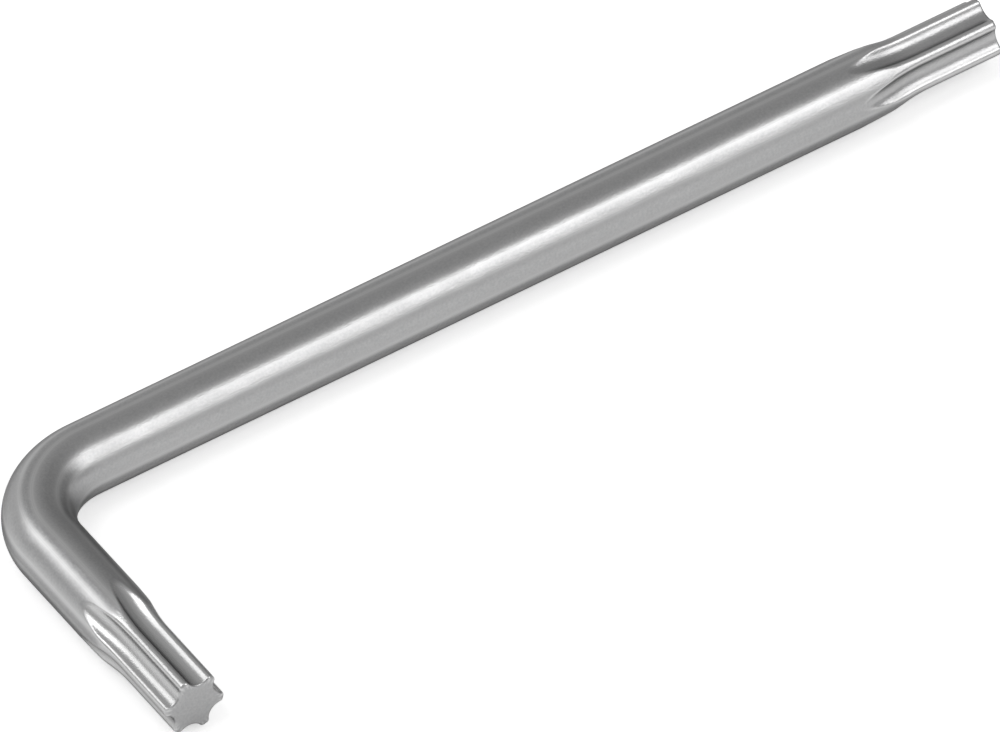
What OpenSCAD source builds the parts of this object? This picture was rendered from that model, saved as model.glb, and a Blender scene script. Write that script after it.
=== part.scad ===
// Bent key for six-lobe star screws, size number 30.
// One round steel bar, bent once, with a star tip formed on both of its ends.
// The key lies flat: its bend is in the XY plane, the long arm runs along +X and the short arm along -Y.
// The origin is on the surface that the key lies on, under the middle of its box.

/* [Bar] */
// Diameter of the round bar
bar_d = 6; // [5.8:0.1:7]
// Length of the long arm, from the outside of the bend to the end of its tip
long_len = 94.5; // [60:0.5:160]
// Length of the short arm, from the outside of the bend to the end of its tip
short_len = 31.5; // [29:0.1:60]
// Radius of the bend, measured to the middle of the bar
bend_r = 7.3; // [6:0.1:10]

/* [Star tips] */
// Size of the star across opposite lobes
star_a = 5.5; // [5.2:0.02:5.7]
// Size of the star across opposite flutes
star_b = 3.95; // [3.7:0.02:4.1]
// Rounding radius of a lobe
lobe_r = 0.45; // [0.35:0.01:0.5]
// Chamfer round the crests at the end of a tip
end_chamfer = 0.34; // [0.1:0.02:0.4]
// Chamfer where a flute opens into the end of a tip
mouth_chamfer = 0.18; // [0.1:0.02:0.4]
// Turn of the long arm's star about its arm, in degrees
long_turn = 45; // [0:1:59]
// Turn of the short arm's star about its arm, in degrees
short_turn = 48; // [0:1:59]

/* [Flutes] */
// Length over which the flutes have their full depth
flute_len = 6.8; // [5:0.1:9]
// Radius with which the floor of a flute turns up
foot_r = 14; // [6:0.5:20]
// Slope at which the flutes then run out of the bar, in degrees
ramp_angle = 12.5; // [10:0.5:16]

/* [Hidden] */

$fn = 96;
STEEL = [0.70, 0.70, 0.70];

LOBES = 6;
PITCH = 360 / LOBES;
HALF = PITCH / 2;

// Extra reach of a cut past the surface that it opens
overrun = 1;
// Height by which the lobe's circle stands above the crest, so that each crest ends in a narrow land
crest_trim = 0.03;
// Depth by which a flute's circle and a lobe's circle overlap where they meet
flank_trim = 0.01;
// Share of the star's pitch that the cut for one flute spans
cut_share = 0.96;
// Rise of the flutes at the end of the cone between crests and bar, as a share of the least for whole lands
cone_share = 1.4;
// Place where this cone leaves the crests, as a share of the way to its end
cone_start_share = 0.3;

bar_r = bar_d / 2;
crest_r = star_a / 2;
root_r = star_b / 2;

// Circle of a lobe: the distance of its centre from the tip's axis
lobe_at = crest_r + crest_trim - lobe_r;
lobe_foot = lobe_at * cos(HALF);

// Circle of a flute: it touches the root and both neighbouring lobes
meet_r = lobe_r - flank_trim;
flute_r = (pow(lobe_at, 2) + pow(root_r, 2) - 2 * lobe_foot * root_r - pow(meet_r, 2))
    / (2 * (lobe_foot + meet_r - root_r));
flute_at = root_r + flute_r;

// Height above the tip's axis at which a flute's circle meets a lobe's circle
meet_at = flute_at + (lobe_foot - flute_at) * flute_r / (flute_r + meet_r);

// Rise of a flute's floor: along a circle, then along a straight ramp out of the bar
flute_depth = bar_r - root_r;
foot_rise = foot_r * (1 - cos(ramp_angle));
foot_run = foot_r * sin(ramp_angle);
ramp_len = (flute_depth - foot_rise) / sin(ramp_angle);

// Cone from the bar down to the crests: where it ends on the bar, behind the full-depth flutes
cone_rise = cone_share * (bar_r - crest_r) / cos(HALF);
cone_end = cone_rise > foot_rise
    ? foot_run + (cone_rise - foot_rise) / tan(ramp_angle)
    : sqrt(pow(foot_r, 2) - pow(foot_r - cone_rise, 2));
cone_start = cone_start_share * cone_end;

// Outside of the bend, from the centre of its curve
reach = bend_r + bar_r;

// Bottom of a flute, with the flute on the X axis and the tip's axis at the origin
module flute_bottom() {
    translate([flute_at, 0])
        circle(r = flute_r);
}

// Space between two lobes above a flute's bottom, with the lobes' rounded flanks
module flute_shoulders() {
    top = bar_r + overrun;
    slope = tan(HALF * cut_share);
    difference() {
        polygon([
            [meet_at, -meet_at * slope],
            [meet_at, meet_at * slope],
            [top, top * slope],
            [top, -top * slope]
        ]);
        for (side = [-1, 1])
            rotate(side * HALF)
                translate([lobe_at, 0])
                    circle(r = lobe_r);
    }
}

// Cut of a flute's section: straight from the tip's end, then rising along a circle and a ramp
module flute_cut(length) {
    foot_at = root_r + foot_r;
    translate([0, 0, length - flute_len])
        linear_extrude(flute_len + overrun)
            children();
    translate([foot_at, 0, length - flute_len])
        rotate([90, 0, 0])
            rotate([0, 0, 180])
                rotate_extrude(angle = ramp_angle)
                    translate([foot_at, 0])
                        mirror([1, 0])
                            children();
    translate([foot_at, 0, length - flute_len])
        rotate([90, 0, 0])
            rotate([0, 0, 180 + ramp_angle])
                rotate([90, 0, 0])
                    translate([0, 0, -ramp_len - overrun])
                        linear_extrude(ramp_len + overrun)
                            translate([foot_at, 0])
                                mirror([1, 0])
                                    children();
}

// Chamfer where a flute opens into the tip's end
module flute_mouth(length) {
    depth = mouth_chamfer + overrun;
    translate([flute_at, 0, length - mouth_chamfer])
        cylinder(r1 = flute_r, r2 = flute_r + depth, h = depth);
}

// Bar of one arm before it is fluted: plain, a slim cone down to the crests, and a chamfered end
module turned_bar(length) {
    rise_from = length - flute_len;
    rotate_extrude()
        polygon([
            [0, 0],
            [bar_r, 0],
            [bar_r, rise_from - cone_end],
            [crest_r, rise_from - cone_start],
            [crest_r, length - end_chamfer],
            [crest_r - end_chamfer, length],
            [0, length]
        ]);
}

// Straight arm along +Z, from the bend to the end of its star tip
module arm(length, turn) {
    difference() {
        turned_bar(length);
        for (i = [0 : LOBES - 1])
            rotate([0, 0, turn + HALF + i * PITCH]) {
                flute_cut(length) flute_bottom();
                flute_cut(length) flute_shoulders();
                flute_mouth(length);
            }
    }
}

// Quarter turn of the bar between the arms
module bend() {
    rotate([0, 0, 90])
        rotate_extrude(angle = 90)
            translate([bend_r, 0])
                circle(r = bar_r);
}

module key() {
    color(STEEL)
        translate([reach - long_len / 2, short_len / 2 - reach, bar_r]) {
            translate([0, bend_r, 0])
                rotate([0, 90, 0])
                    arm(long_len - reach, long_turn);
            bend();
            translate([-bend_r, 0, 0])
                rotate([90, 0, 0])
                    arm(short_len - reach, short_turn);
        }
}

key();
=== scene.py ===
"""A bent key for six-lobe star screws, in satin chrome, lying on a white table in soft studio light.

Lengths are in millimetres in the key's own frame, and MM turns them into the scene's metres.
"""

import math

import bpy
import numpy as np
from mathutils import Matrix, Vector


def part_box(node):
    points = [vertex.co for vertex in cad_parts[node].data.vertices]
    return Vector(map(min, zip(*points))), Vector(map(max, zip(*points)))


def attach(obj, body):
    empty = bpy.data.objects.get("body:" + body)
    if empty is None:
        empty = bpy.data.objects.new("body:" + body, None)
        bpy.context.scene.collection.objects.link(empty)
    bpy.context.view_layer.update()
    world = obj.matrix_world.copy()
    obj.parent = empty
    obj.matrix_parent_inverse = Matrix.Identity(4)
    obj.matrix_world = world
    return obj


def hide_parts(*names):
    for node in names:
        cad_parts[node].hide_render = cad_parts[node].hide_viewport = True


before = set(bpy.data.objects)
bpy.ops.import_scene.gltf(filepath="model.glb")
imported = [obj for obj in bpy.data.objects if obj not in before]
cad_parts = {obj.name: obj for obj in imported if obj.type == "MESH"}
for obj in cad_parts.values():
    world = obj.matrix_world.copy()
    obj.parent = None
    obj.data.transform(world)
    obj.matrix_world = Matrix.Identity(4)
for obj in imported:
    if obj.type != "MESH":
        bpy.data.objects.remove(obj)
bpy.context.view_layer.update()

MM = 0.001
WHITE = (1, 1, 1, 1)

# The bar, from the box that it fills, and its bend, measured to the middle of the bar
key_low, key_high = (np.array(corner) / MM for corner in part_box("key"))
BAR_R = (key_high[2] - key_low[2]) / 2
BEND_R = 7.3
LONG_AXIS_Y = key_high[1] - BAR_R
SHORT_AXIS_X = key_low[0] + BAR_R
BEND_X = SHORT_AXIS_X + BEND_R
BEND_Y = LONG_AXIS_Y - BEND_R
LONG_ARM = key_high[0] - BEND_X
SHORT_ARM = BEND_Y - key_low[1]
BEND_ARC = BEND_R * math.pi / 2
BAR_LENGTH = LONG_ARM + BEND_ARC + SHORT_ARM

# The star: radii of its crests and roots, and rounding of a lobe
LOBES = 6
HALF_PITCH = math.pi / LOBES
CREST_R = 2.75
ROOT_R = 1.975
LOBE_R = 0.45

# Turn of each star about the bar, from the outside of the bend towards the top
LONG_TURN = math.radians(15)
SHORT_TURN = math.radians(12)

# Rounding of a tip's end at the flutes and at the crests, and of the edges along the flutes
MOUTH_ROUND = 0.2
CREST_ROUND = 0.36
SOFT_EDGE = 0.08

# A flute's full-depth length, then the circle and the ramp along which its floor rises out of the bar
FLUTE_LENGTH = 6.8
FOOT_R = 14.0
RAMP_ANGLE = math.radians(12.5)
FOOT_RUN = FOOT_R * math.sin(RAMP_ANGLE)

# Slim cone from the crests up to the bar, in distances behind the full-depth flutes
CONE_FROM = 0.7
CONE_TO = 3.7

# Length of bar at each end that holds a star with the run-outs of its flutes
TIP_ZONE = 14.0

# Circle of a lobe, in a flute's own axes: up its middle and across it
LOBE_AT = CREST_R - LOBE_R
LOBE_UP = LOBE_AT * math.cos(HALF_PITCH)
LOBE_ACROSS = LOBE_AT * math.sin(HALF_PITCH)

# Circle of a flute: it touches the root and both neighbouring lobes
FLUTE_R = (LOBE_AT**2 + ROOT_R**2 - 2 * LOBE_UP * ROOT_R - LOBE_R**2) / (2 * (LOBE_UP + LOBE_R - ROOT_R))
FLUTE_UP = ROOT_R + FLUTE_R

# Search for a flute's cut: a radius well outside the bar, and how often the range is halved
FAR_R = 2 * BAR_R
HALVINGS = 40

# Depth below the bar's surface from which a tip counts as fully rubbed by use
RUBBED_DEPTH = 0.12
# Rub of the long tip, as a share of the short tip's
LONG_RUB_SHARE = 0.3
# Least distance between neighbours that a curve is worked out from
LEAST_WIDTH = 1e-6

# Fineness of the mesh: points round half a lobe's pitch, and rings along each stretch
FINE_POINTS = 2001
HALF_PITCH_POINTS = 16
CAP_RINGS = 6
END_RINGS = 12
STAR_RINGS = 14
RUN_RINGS = 56
LONG_RINGS = 48
BEND_RINGS = 40
SHORT_RINGS = 12

# Satin chrome: greys of its grain, of rubbed tips, of worn edges and of its tint at a glancing angle
GRAIN_DARK = (0.405, 0.405, 0.41, 1)
GRAIN_LIGHT = (0.475, 0.475, 0.475, 1)
RUBBED_GREY = (0.58, 0.58, 0.58, 1)
WORN_GREY = (0.6, 0.6, 0.6, 1)
GLANCING_TINT = (0.3, 0.3, 0.3, 1)
ROUGHNESS_RANGE = (0.3, 0.36)
RUBBED_ROUGHNESS = 0.27

# Noises of the chrome: how many changes to a millimetre, how much detail, and the depth of bumps
NOISE_BAND = (0.3, 0.7)
GRAIN_PER_MM = 5.0
GRAIN_DETAIL = 3
SHEEN_PER_MM = 0.35
SHEEN_DETAIL = 4
WAVE_PER_MM = 0.4
WAVE_DEPTH = 0.03
PIT_PER_MM = 6.5
PIT_DEPTH = 0.013
BUMP_DETAIL = 2

# Table, just below the key
TABLE_GREY = (0.95, 0.95, 0.95, 1)
TABLE_ROUGHNESS = 0.9
TABLE_HALF = 2000
TABLE_DROP = 0.05

# Glow of the table for the camera, and for the chrome where little of the sky above it is covered nearby;
# taking the chrome's glow away near the key paints shade around the key into its reflection
CAMERA_GLOW = 0.45
CHROME_GLOW = 0.22
PAINTED_SHADE_OPEN_SHARES = (0.65, 1.0)
PAINTED_SHADE_REACH = 14
PAINTED_SHADE_SAMPLES = 4

# Grey room: greys low down, high up and on the right, and the ranges of height and side in which they change
LOW_GREY = (0.88, 0.88, 0.88, 1)
HIGH_GREY = (0.45, 0.45, 0.45, 1)
RIGHT_GREY = (0.3, 0.3, 0.3, 1)
HIGH_RANGE = (0.0, 0.5)
RIGHT_RANGE = (0.3, 0.7)
BELOW_RANGE = (-0.02, 0.0)

# Lamps: name, direction from the key, width and height, and power in watts
LAMP_DISTANCE = 2000
LAMPS = (
    ("front_lamp", (0.45, -0.57, 0.69), (1400, 1100), 10.6),
    ("back_lamp", (-0.47, 0.48, 0.74), (1000, 1400), 5.8),
    ("top_lamp", (-0.36, 0.1, 0.93), (900, 1000), 5.6),
)

# Camera, found by fitting the key's outline to the photograph
VIEW_AZIMUTH = math.radians(-28.852)
VIEW_ELEVATION = math.radians(43.916)
VIEW_ROLL = math.radians(-4.781)
VIEW_TARGET = (-4.698, 2.511, 3.0)
VIEW_DISTANCE = 2400
VIEW_WIDTH = 78.64
SENSOR_WIDTH = 36
CLIP_NEAR = 10
CLIP_FAR = 20000


def smooth_step(value, low, high):
    """Share of the way from low to high, with soft ends."""
    share = np.clip((value - low) / (high - low), 0, 1)
    return share * share * (3 - 2 * share)


def smooth_least(a, b, width):
    """The lesser of two radii, with the edge between them rounded over a width."""
    share = np.clip(0.5 + 0.5 * (b - a) / width, 0, 1)
    return b * (1 - share) + a * share - width * share * (1 - share)


def floor_rise(behind):
    """Rise of a flute's floor at a distance behind its full-depth part."""
    on_foot = np.minimum(behind, FOOT_RUN)
    foot = FOOT_R - np.sqrt(FOOT_R**2 - on_foot**2)
    return foot + (behind - on_foot) * math.tan(RAMP_ANGLE)


def cut_height(across, behind, inset):
    """Height of a flute's cut above the tip's axis, at a distance behind its full-depth part."""
    lobe_r = LOBE_R - inset
    flute_r = FLUTE_R + inset
    meet = LOBE_ACROSS * flute_r / (flute_r + lobe_r)
    bottom = FLUTE_UP - np.sqrt(np.maximum(flute_r**2 - across**2, 0))
    shoulder = LOBE_UP + np.sqrt(np.maximum(lobe_r**2 - (across - LOBE_ACROSS) ** 2, 0))
    height = np.where(across < meet, bottom, shoulder)
    height = np.where(across > LOBE_ACROSS + lobe_r, FAR_R, height)
    return height + floor_rise(behind)


def cut_radius(angle, behind, inset):
    """Distance from the tip's axis to a flute's cut, at an angle from the flute's middle."""
    low = np.zeros(np.broadcast(angle, behind, inset).shape)
    high = np.full_like(low, FAR_R)
    for _ in range(HALVINGS):
        middle = (low + high) / 2
        outside = middle * np.cos(angle) > cut_height(middle * np.sin(angle), behind, inset)
        high = np.where(outside, middle, high)
        low = np.where(outside, low, middle)
    return low


def round_inset(from_end, rounding):
    """Depth by which a rounded end lies inside the side that it ends."""
    left = np.clip(rounding - from_end, 0, rounding)
    return rounding - np.sqrt(rounding**2 - left**2)


def tip_radius(angle, from_end):
    """Radius of a star tip at an angle from the nearest flute's middle and a distance from its end."""
    behind = np.maximum(from_end - FLUTE_LENGTH, 0)
    fluted = cut_radius(angle, behind, round_inset(from_end, MOUTH_ROUND))
    turned = CREST_R + (BAR_R - CREST_R) * smooth_step(behind, CONE_FROM, CONE_TO)
    return smooth_least(fluted, turned - round_inset(from_end, CREST_ROUND), SOFT_EDGE)


def points_round_bar():
    """Angles round the bar from a lobe and from the nearest flute's middle, spaced evenly along the star."""
    fine = np.linspace(0, HALF_PITCH, FINE_POINTS)
    radius = tip_radius(fine, np.full_like(fine, FLUTE_LENGTH / 2))
    steps = np.hypot(np.diff(radius * np.cos(fine)), np.diff(radius * np.sin(fine)))
    along = np.concatenate([[0], np.cumsum(steps)])
    half = np.interp(np.linspace(0, along[-1], HALF_PITCH_POINTS + 1), along, fine)
    one_flute = np.concatenate([-half[:0:-1], half[:-1]])
    middles = HALF_PITCH * (2 * np.arange(LOBES) + 1)
    from_lobe = (middles[:, None] + one_flute[None, :]).ravel()
    from_flute = np.tile(np.abs(one_flute), LOBES)
    return from_lobe, from_flute


def rings_along_tip():
    """Distances of the rings of one star tip from its end."""
    end = CREST_ROUND * (1 - np.cos(np.linspace(0, math.pi / 2, END_RINGS + 1)))
    star = np.linspace(CREST_ROUND, FLUTE_LENGTH, STAR_RINGS)[1:]
    run = np.linspace(FLUTE_LENGTH, TIP_ZONE, RUN_RINGS)[1:]
    return np.concatenate([end, star, run])


def rings_along_bar():
    """Distances of all rings from the long arm's end, along the bar."""
    tip = rings_along_tip()
    bend_start = LONG_ARM
    bend_end = LONG_ARM + BEND_ARC
    long_plain = np.linspace(TIP_ZONE, bend_start, LONG_RINGS)[1:-1]
    bend = np.linspace(bend_start, bend_end, BEND_RINGS)
    short_plain = np.linspace(bend_end, BAR_LENGTH - TIP_ZONE, SHORT_RINGS)[1:-1]
    return np.concatenate([tip, long_plain, bend, short_plain, BAR_LENGTH - tip[::-1]])


def bar_middle(along):
    """Middle of the bar at distances from the long arm's end, and the way to the outside of the bend."""
    turned = np.clip((along - LONG_ARM) / BEND_R, 0, math.pi / 2)
    outward = np.stack([-np.sin(turned), np.cos(turned), np.zeros_like(turned)], axis=1)
    middle = np.array([BEND_X, BEND_Y, BAR_R]) + BEND_R * outward
    middle[:, 0] += np.maximum(LONG_ARM - along, 0)
    middle[:, 1] -= np.maximum(along - LONG_ARM - BEND_ARC, 0)
    return middle, outward


def key_rings():
    """Points of the key's skin, ring by ring from the long arm's end to the short arm's."""
    along = rings_along_bar()
    middle, outward = bar_middle(along)
    from_lobe, from_flute = points_round_bar()
    from_end = np.minimum(along, BAR_LENGTH - along)
    radius = tip_radius(from_flute[None, :], from_end[:, None])
    radius = np.where(from_end[:, None] >= TIP_ZONE, BAR_R, np.minimum(radius, BAR_R))
    share = smooth_step(along, TIP_ZONE, BAR_LENGTH - TIP_ZONE)
    turn = LONG_TURN + (SHORT_TURN - LONG_TURN) * share
    angle = from_lobe[None, :] + turn[:, None]
    up = np.array([0, 0, 1])
    spokes = np.cos(angle)[..., None] * outward[:, None, :] + np.sin(angle)[..., None] * up
    return middle[:, None, :] + radius[..., None] * spokes


def cap_rings(edge):
    """Rings of a tip's flat end, from just inside its edge to near its middle, and this middle."""
    middle = edge.mean(axis=0)
    shares = np.linspace(1, 0, CAP_RINGS + 2)[1:-1]
    return middle + shares[:, None, None] * (edge - middle), middle


def edge_share(rings):
    """How sharply each point bulges: near 1 on the rounded lobes, 0 on the plain bar and in the flutes."""
    before = np.roll(rings, 1, axis=1)
    after = np.roll(rings, -1, axis=1)
    flat = (before + after) / 2
    sag = np.linalg.norm(rings - flat, axis=2)
    width = np.linalg.norm(before - after, axis=2)
    middle = rings.mean(axis=1, keepdims=True)
    out = np.sum((rings - flat) * (rings - middle), axis=2) > 0
    # Curve of the arc through a point and its neighbours, where this arc bulges outward
    curve = np.where(out, 8 * sag / np.maximum(width, LEAST_WIDTH) ** 2, 0)
    return np.clip((curve - 1 / BAR_R) * LOBE_R, 0, 1)


def rubbed_share(rings):
    """How far each point is rubbed bright by use: 1 in the short tip, less in the long one, 0 on the bar."""
    along = rings_along_bar()
    middle, _ = bar_middle(along)
    depth = BAR_R - np.linalg.norm(rings - middle[:, None, :], axis=2)
    use = np.where(along < LONG_ARM, LONG_RUB_SHARE, 1)
    # The rub fades out at the ends, so that their edges have no bright border
    use = use * smooth_step(np.minimum(along, BAR_LENGTH - along), 0, CREST_ROUND)
    return smooth_step(depth, 0, RUBBED_DEPTH) * use[:, None]


def skin_faces(count, round_bar):
    """Faces between rings of points, and fans that join the first and last rings to two last points."""
    faces = []
    for start in range(0, (count - 1) * round_bar, round_bar):
        for a in range(start, start + round_bar):
            b = start + (a + 1 - start) % round_bar
            faces.append((a, a + round_bar, b + round_bar, b))
    first_hub = count * round_bar
    last_ring = first_hub - round_bar
    for a in range(round_bar):
        b = (a + 1) % round_bar
        faces.append((first_hub, a, b))
        faces.append((first_hub + 1, b + last_ring, a + last_ring))
    return faces


def key_mesh():
    """The key as one closed mesh, with its points' shares of edge and of rub for the material."""
    skin = key_rings()
    long_cap, long_middle = cap_rings(skin[0])
    short_cap, short_middle = cap_rings(skin[-1])
    rings = np.concatenate([long_cap[::-1], skin, short_cap])
    count, round_bar = rings.shape[:2]
    points = np.concatenate([rings.reshape(-1, 3), [long_middle, short_middle]])
    mesh = bpy.data.meshes.new("key_body")
    mesh.from_pydata((points * MM).tolist(), [], skin_faces(count, round_bar))
    mesh.shade_smooth()
    skin_points = slice(len(long_cap) * round_bar, (len(long_cap) + len(skin)) * round_bar)
    for name, shares in (("edge", edge_share(skin)), ("rubbed", rubbed_share(skin))):
        values = np.zeros(len(points))
        values[skin_points] = shares.ravel()
        mesh.attributes.new(name, "FLOAT", "POINT").data.foreach_set("value", values)
    mesh.validate()
    return mesh


def add_node(tree, kind, **settings):
    """Adds a node of a kind and gives it its settings."""
    node = tree.nodes.new(kind)
    for name, value in settings.items():
        setattr(node, name, value)
    return node


def feed(tree, value, socket):
    """Gives an input its value: another node's output, or a constant."""
    if isinstance(value, bpy.types.NodeSocket):
        tree.links.new(value, socket)
    else:
        socket.default_value = value


def mix(tree, kind, share, under, over):
    """Mixes two colours (RGBA) or numbers (FLOAT): all of the first at share 0, all of the second at 1."""
    node = add_node(tree, "ShaderNodeMix", data_type=kind)
    feed(tree, share, node.inputs["Factor"])
    feed(tree, under, node.inputs["A"])
    feed(tree, over, node.inputs["B"])
    return node.outputs["Result"]


def spread(tree, value, given, wanted, curve="LINEAR"):
    """Spreads a given range of values over the wanted one, and holds values outside it at its ends."""
    node = add_node(tree, "ShaderNodeMapRange", interpolation_type=curve)
    for name, limit in zip(("From Min", "From Max", "To Min", "To Max"), (*given, *wanted)):
        node.inputs[name].default_value = limit
    tree.links.new(value, node.inputs["Value"])
    return node.outputs["Result"]


def noise(tree, place, per_mm, detail):
    """Noise that changes about so many times to a millimetre."""
    node = add_node(tree, "ShaderNodeTexNoise")
    node.inputs["Scale"].default_value = per_mm / MM
    node.inputs["Detail"].default_value = detail
    tree.links.new(place, node.inputs["Vector"])
    return node.outputs["Fac"]


def bump(tree, height, depth, under=None):
    """Bump of a depth, on top of another bump if one is given."""
    node = add_node(tree, "ShaderNodeBump")
    node.inputs["Distance"].default_value = depth * MM
    tree.links.new(height, node.inputs["Height"])
    if under:
        tree.links.new(under, node.inputs["Normal"])
    return node.outputs["Normal"]


def seen_share(tree, kinds):
    """1 for the named kinds of ray, 0 for others."""
    path = add_node(tree, "ShaderNodeLightPath")
    total = path.outputs[kinds[0]]
    for kind in kinds[1:]:
        most = add_node(tree, "ShaderNodeMath", operation="MAXIMUM")
        tree.links.new(total, most.inputs[0])
        tree.links.new(path.outputs[kind], most.inputs[1])
        total = most.outputs["Value"]
    return total


def chrome_material():
    """Satin chrome: a fine grain, slow changes of sheen, and paler greys on rubbed tips and worn edges."""
    material = bpy.data.materials.new("satin_chrome")
    material.use_nodes = True
    tree = material.node_tree
    shader = tree.nodes["Principled BSDF"]
    shader.inputs["Metallic"].default_value = 1.0
    shader.inputs["Specular Tint"].default_value = GLANCING_TINT
    place = add_node(tree, "ShaderNodeTexCoord").outputs["Object"]
    edge = add_node(tree, "ShaderNodeAttribute", attribute_name="edge").outputs["Fac"]
    rubbed = add_node(tree, "ShaderNodeAttribute", attribute_name="rubbed").outputs["Fac"]

    grain = spread(tree, noise(tree, place, GRAIN_PER_MM, GRAIN_DETAIL), NOISE_BAND, (0, 1))
    tone = mix(tree, "RGBA", grain, GRAIN_DARK, GRAIN_LIGHT)
    tone = mix(tree, "RGBA", rubbed, tone, RUBBED_GREY)
    tone = mix(tree, "RGBA", edge, tone, WORN_GREY)
    tree.links.new(tone, shader.inputs["Base Color"])

    sheen = spread(tree, noise(tree, place, SHEEN_PER_MM, SHEEN_DETAIL), NOISE_BAND, ROUGHNESS_RANGE)
    sheen = mix(tree, "FLOAT", rubbed, sheen, RUBBED_ROUGHNESS)
    tree.links.new(sheen, shader.inputs["Roughness"])

    normal = bump(tree, noise(tree, place, WAVE_PER_MM, BUMP_DETAIL), WAVE_DEPTH)
    normal = bump(tree, noise(tree, place, PIT_PER_MM, BUMP_DETAIL), PIT_DEPTH, normal)
    tree.links.new(normal, shader.inputs["Normal"])
    return material


def build_key():
    """The key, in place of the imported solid."""
    piece = bpy.data.objects.new("key_body", key_mesh())
    bpy.context.scene.collection.objects.link(piece)
    piece.data.materials.append(chrome_material())
    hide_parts("key")
    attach(piece, "root")


def floor_material():
    """White table, lit by the lamps: it glows for the camera, and for the chrome, with painted shade where
    this glow is taken away close to the key.
    """
    material = bpy.data.materials.new("table_white")
    material.use_nodes = True
    tree = material.node_tree
    shader = tree.nodes["Principled BSDF"]
    shader.inputs["Base Color"].default_value = TABLE_GREY
    shader.inputs["Roughness"].default_value = TABLE_ROUGHNESS
    shader.inputs["Specular IOR Level"].default_value = 0.0
    shader.inputs["Emission Color"].default_value = WHITE
    # Ambient occlusion takes the chrome's glow away close to the key: painted shade in the table's
    # reflection
    painted_shade_cover = add_node(tree, "ShaderNodeAmbientOcclusion", samples=PAINTED_SHADE_SAMPLES)
    painted_shade_cover.inputs["Distance"].default_value = PAINTED_SHADE_REACH * MM
    chrome_glow_less_painted_shade = spread(tree, painted_shade_cover.outputs["AO"], PAINTED_SHADE_OPEN_SHARES, (0, CHROME_GLOW), "SMOOTHSTEP")
    glow = mix(tree, "FLOAT", seen_share(tree, ["Is Glossy Ray", "Is Transmission Ray"]), 0.0, chrome_glow_less_painted_shade)
    glow = mix(tree, "FLOAT", seen_share(tree, ["Is Camera Ray"]), glow, CAMERA_GLOW)
    tree.links.new(glow, shader.inputs["Emission Strength"])
    return material


def build_floor():
    """Wide flat table under the key."""
    half = TABLE_HALF * MM
    mesh = bpy.data.meshes.new("table")
    corners = [(-half, -half, 0), (half, -half, 0), (half, half, 0), (-half, half, 0)]
    mesh.from_pydata(corners, [], [(0, 1, 2, 3)])
    floor = bpy.data.objects.new("table", mesh)
    floor.location.z = -TABLE_DROP * MM
    bpy.context.scene.collection.objects.link(floor)
    mesh.materials.append(floor_material())


def build_world():
    """Grey room, paler low down and dark on the right, and below the horizon as white as the table."""
    world = bpy.data.worlds.new("grey_room")
    bpy.context.scene.world = world
    world.use_nodes = True
    tree = world.node_tree
    axes = add_node(tree, "ShaderNodeSeparateXYZ")
    tree.links.new(add_node(tree, "ShaderNodeTexCoord").outputs["Generated"], axes.inputs["Vector"])
    high = spread(tree, axes.outputs["Z"], HIGH_RANGE, (0, 1), "SMOOTHSTEP")
    right = spread(tree, axes.outputs["X"], RIGHT_RANGE, (0, 1), "SMOOTHSTEP")
    below = spread(tree, axes.outputs["Z"], BELOW_RANGE, (1, 0), "SMOOTHSTEP")
    tone = mix(tree, "RGBA", high, LOW_GREY, HIGH_GREY)
    tone = mix(tree, "RGBA", right, tone, RIGHT_GREY)
    tone = mix(tree, "RGBA", below, tone, WHITE)
    tree.links.new(tone, tree.nodes["Background"].inputs["Color"])


def add_lamp(name, direction, size, power):
    """Rectangular soft lamp, aimed at the key from a direction, with its width turned along the long arm."""
    data = bpy.data.lights.new(name, "AREA")
    data.shape = "RECTANGLE"
    data.size, data.size_y = (length * MM for length in size)
    data.energy = power
    lamp = bpy.data.objects.new(name, data)
    towards = Vector(direction).normalized()
    beside = towards.cross(Vector((1, 0, 0))).normalized()
    place = Matrix((beside.cross(towards), beside, towards)).transposed().to_4x4()
    place.translation = towards * LAMP_DISTANCE * MM
    lamp.matrix_world = place
    bpy.context.scene.collection.objects.link(lamp)


def build_lamps():
    """The soft lamps of the studio."""
    for name, direction, size, power in LAMPS:
        add_lamp(name, direction, size, power)


def build_camera():
    """Far camera with a narrow view, turned and rolled as the photograph shows the key."""
    flat = math.cos(VIEW_ELEVATION)
    back = Vector(
        (math.sin(VIEW_AZIMUTH) * flat, -math.cos(VIEW_AZIMUTH) * flat, math.sin(VIEW_ELEVATION))
    )
    level = Vector((math.cos(VIEW_AZIMUTH), math.sin(VIEW_AZIMUTH), 0))
    rise = back.cross(level)
    right = math.cos(VIEW_ROLL) * level + math.sin(VIEW_ROLL) * rise
    up = math.cos(VIEW_ROLL) * rise - math.sin(VIEW_ROLL) * level
    data = bpy.data.cameras.new("camera")
    data.sensor_width = SENSOR_WIDTH
    data.lens = data.sensor_width * VIEW_DISTANCE / VIEW_WIDTH
    data.clip_start = CLIP_NEAR * MM
    data.clip_end = CLIP_FAR * MM
    camera = bpy.data.objects.new("camera", data)
    place = Matrix((right, up, back)).transposed().to_4x4()
    place.translation = (Vector(VIEW_TARGET) + back * VIEW_DISTANCE) * MM
    camera.matrix_world = place
    bpy.context.scene.collection.objects.link(camera)
    bpy.context.scene.camera = camera


bpy.context.scene.view_settings.view_transform = "Standard"
build_key()
build_floor()
build_world()
build_lamps()
build_camera()
